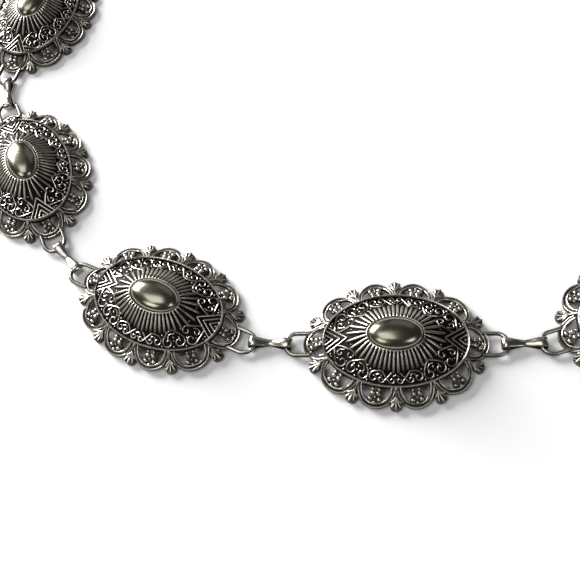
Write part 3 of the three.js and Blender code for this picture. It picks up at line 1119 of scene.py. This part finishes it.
def antique_silver(finish: AntiqueFinish, wear: bpy.types.ShaderNodeTree) -> bpy.types.Material:
    """The material of a finish.

    Args:
        finish: The finish.
        wear: The shader group for mottling and pits.

    Returns:
        The material, which reads the mesh's polish.
    """
    material = bpy.data.materials.new(finish.name)
    material.use_nodes = True
    tree = material.node_tree
    # The polish holds rubbed crests and oxide in hollows, with painted shade on sideways faces of lines, beads
    # and bands
    polish = grown(tree, "ShaderNodeAttribute", attribute_name="polish")
    worn = grown(tree, "ShaderNodeGroup", node_tree=wear, Clouding=finish.clouding, Grain=finish.grain)
    # Mottling eats a little into the polish
    eaten = grown(tree, "ShaderNodeMapRange", Value=worn.outputs["Mottle"], From_Min=0.3, From_Max=0.7)
    feed(tree, eaten, To_Min=0.8, To_Max=1.1)
    shown = grown(tree, "ShaderNodeMath", operation="MULTIPLY", use_clamp=True)
    tree.links.new(polish.outputs["Fac"], shown.inputs[0])
    tree.links.new(eaten.outputs["Result"], shown.inputs[1])
    ramp = grown(tree, "ShaderNodeValToRGB", Fac=shown.outputs[0])
    first, last = ramp.color_ramp.elements
    first.position, last.position = 0.12, 0.85
    first.color, last.color = finish.dark, finish.bright
    ramp.color_ramp.elements.new(0.45).color = finish.tarnished
    rough = grown(tree, "ShaderNodeMapRange", Value=shown.outputs[0])
    feed(tree, rough, To_Min=finish.recess_roughness, To_Max=finish.crest_roughness)
    bump = grown(tree, "ShaderNodeBump", Height=worn.outputs["Pits"], Distance=finish.relief)
    feed(
        tree,
        tree.nodes["Principled BSDF"],
        Metallic=1.0,
        Base_Color=ramp.outputs["Color"],
        Roughness=rough.outputs["Result"],
        Normal=bump.outputs["Normal"],
    )
    return material


# The belt as it lies


@dataclass(frozen=True)
class Pose:
    """Where a piece lies on the table: its middle in metres and the turn of its length."""

    x: float
    y: float
    turn: float

    @classmethod
    def of_node(cls, name: str) -> "Pose":
        """The pose of a CAD node, from the longest axis of its points."""
        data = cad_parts[name].data
        co = np.zeros(len(data.vertices) * 3, np.float32)
        data.vertices.foreach_get("co", co)
        flat = np.unique(np.round(co.reshape(-1, 3)[:, :2].astype(float), 6), axis=0)
        _, axes = np.linalg.eigh(np.cov((flat - flat.mean(axis=0)).T))
        along = axes[:, 1]
        reach = flat @ axes
        middle = axes @ ((reach.min(axis=0) + reach.max(axis=0)) / 2)
        return cls(float(middle[0]), float(middle[1]), math.atan2(along[1], along[0]))

    def facing(self, other: "Pose") -> "Pose":
        """The same pose, turned round if its +X end points away from the other one."""
        ahead = (other.x - self.x) * math.cos(self.turn) + (other.y - self.y) * math.sin(self.turn)
        return self if ahead > 0 else Pose(self.x, self.y, self.turn + math.pi)

    def matrix(self) -> Matrix:
        """From a piece's own millimetres to the row's metres."""
        turned = Matrix.Rotation(self.turn, 4, "Z") @ Matrix.Scale(MM, 4)
        return Matrix.Translation((self.x, self.y, 0)) @ turned


class Belt:
    """The whole belt: ten conchos, nine links and a hook."""

    def __init__(self) -> None:
        """Makes the finishes and the workshop."""
        wear = wear_group()
        self.relief = antique_silver(AntiqueFinish(), wear)
        self.smooth = antique_silver(
            AntiqueFinish(
                name="polished silver",
                bright=(0.27, 0.255, 0.2, 1.0),
                crest_roughness=0.2,
                clouding=45.0,
                relief=0.00001,
            ),
            wear,
        )
        self.workshop = Workshop(self.relief)

    def mesh(self, name: str, patches: list[Patch]) -> bpy.types.Mesh:
        """One mesh of several patches, with their polish.

        Args:
            name: The mesh's name.
            patches: Its surfaces, in millimetres.

        Returns:
            The mesh.
        """
        points = np.vstack([patch.points for patch in patches])
        faces, index, first = [], [], 0
        for patch in patches:
            faces += [tuple(first + i for i in face) for face in patch.faces]
            index += [int(patch.plain)] * len(patch.faces)
            first += len(patch.points)
        mesh = bpy.data.meshes.new(name)
        mesh.from_pydata(points.tolist(), [], faces)
        give_values(mesh, "polish", np.concatenate([patch.polish for patch in patches]))
        mesh.polygons.foreach_set("use_smooth", [True] * len(mesh.polygons))
        mesh.polygons.foreach_set("material_index", index)
        mesh.set_sharp_from_angle(angle=SHARP_ANGLE)
        mesh.materials.append(self.relief)
        mesh.materials.append(self.smooth)
        return mesh

    def place(self, node: str, shape: bpy.types.Mesh, pose: Pose) -> None:
        """Lays a copy of a shape where a node lies, in its stead."""
        mesh = shape.copy()
        mesh.name = node
        mesh.transform(pose.matrix())
        piece = bpy.data.objects.new(node + "_cast", mesh)
        bpy.context.scene.collection.objects.link(piece)
        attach(piece, "root")
        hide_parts(node)
        log.info("%s: %d faces", piece.name, len(mesh.polygons))

    def build(self) -> None:
        """Makes each shape once and lays it in each of its places."""
        nodes = sorted(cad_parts)
        concho = self.mesh("concho", Concho(ConchoSizes(), self.workshop).patches())
        link = self.mesh("link", [Band().link()])
        hook = self.mesh("hook", [Band(length=21.0).hook()])
        self.workshop.close()
        shapes = {"concho": concho, "link": link, "hook": hook}
        first = Pose.of_node("concho_01")
        for node in nodes:
            pose = Pose.of_node(node)
            if node == "hook_clasp":
                pose = pose.facing(first)
            self.place(node, shapes[node.split("_")[0]], pose)


# Floor, light and camera


@dataclass(frozen=True)
class Softbox:
    """A square soft light: its place and side in metres and its power in watts."""

    name: str
    place: tuple[float, float, float]
    size: float
    power: float


@dataclass(frozen=True)
class Studio:
    """A pale table, soft light from the upper left and the camera, in the photograph's place."""

    elevation: float = 63.27
    azimuth: float = 13.6
    roll: float = -12.58
    distance: float = 0.3301
    lens: float = 57.12
    sensor: float = 36.0
    aim: tuple[float, float] = (-0.0374, 0.0219)  # from the main concho's middle
    floor_half: float = 3.0
    whiteness: float = 0.9
    surroundings: float = 0.06
    softboxes: tuple[Softbox, ...] = (
        Softbox("key", (-1.65, 1.3, 0.82), 1.3, 128.0),
        Softbox("overhead", (-0.6, -0.1, 2.0), 1.1, 9.5),
        Softbox("left front", (-1.2, -1.3, 1.5), 0.9, 9.0),
        Softbox("right front", (1.3, -1.2, 1.5), 0.8, 6.0),
        Softbox("far", (0.5, 1.9, 1.3), 1.6, 2.0),
    )

    def floor(self) -> None:
        """The table."""
        mesh = bpy.data.meshes.new("table_top")
        h = self.floor_half
        mesh.from_pydata([(-h, -h, 0), (h, -h, 0), (h, h, 0), (-h, h, 0)], [], [(0, 1, 2, 3)])
        table = bpy.data.objects.new("table_top", mesh)
        bpy.context.scene.collection.objects.link(table)
        material = bpy.data.materials.new("white paper")
        material.use_nodes = True
        tree = material.node_tree
        white = (*[self.whiteness] * 3, 1.0)
        shader = tree.nodes["Principled BSDF"]
        feed(tree, shader, Base_Color=white, Roughness=0.9, Specular_IOR_Level=0.1)
        mesh.materials.append(material)

    def light(self, lamp: Softbox) -> None:
        """A square soft light that faces the belt."""
        made = bpy.data.lights.new(lamp.name, "AREA")
        made.size = lamp.size
        made.energy = lamp.power
        holder = bpy.data.objects.new(lamp.name, made)
        holder.location = lamp.place
        holder.rotation_euler = (-Vector(lamp.place)).to_track_quat("-Z", "Y").to_euler()
        bpy.context.scene.collection.objects.link(holder)

    def lights(self) -> None:
        """The softboxes and the dim surroundings, on a plain colour scale."""
        bpy.context.scene.view_settings.view_transform = "Standard"
        for lamp in self.softboxes:
            self.light(lamp)
        world = bpy.data.worlds.new("dim surroundings")
        world.use_nodes = True
        tree = world.node_tree
        feed(tree, tree.nodes["Background"], Color=(1.0, 1.0, 1.0, 1.0), Strength=self.surroundings)
        bpy.context.scene.world = world

    def camera(self) -> None:
        """The camera."""
        lens = bpy.data.cameras.new("camera")
        lens.lens = self.lens
        lens.sensor_width = self.sensor
        lens.clip_start, lens.clip_end = 0.01, 20.0
        camera = bpy.data.objects.new("camera", lens)
        main_concho = Pose.of_node(MAIN_CONCHO)
        target = Vector((main_concho.x + self.aim[0], main_concho.y + self.aim[1], 0.0))
        a, e = math.radians(self.azimuth), math.radians(self.elevation)
        back = Vector((math.sin(a) * math.cos(e), -math.cos(a) * math.cos(e), math.sin(e)))
        camera.location = target + back * self.distance
        upright = back.to_track_quat("Z", "Y").to_matrix()
        camera.rotation_euler = (upright @ Matrix.Rotation(math.radians(self.roll), 3, "Z")).to_euler()
        bpy.context.scene.collection.objects.link(camera)
        bpy.context.scene.camera = camera

    def build(self) -> None:
        """Sets up the whole studio."""
        self.floor()
        self.lights()
        self.camera()


def main() -> None:
    """Builds the studio and the belt."""
    logging.basicConfig(level=logging.INFO, format="%(name)s: %(message)s")
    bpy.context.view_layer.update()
    Studio().build()
    Belt().build()


if __name__ == "__main__":
    main()
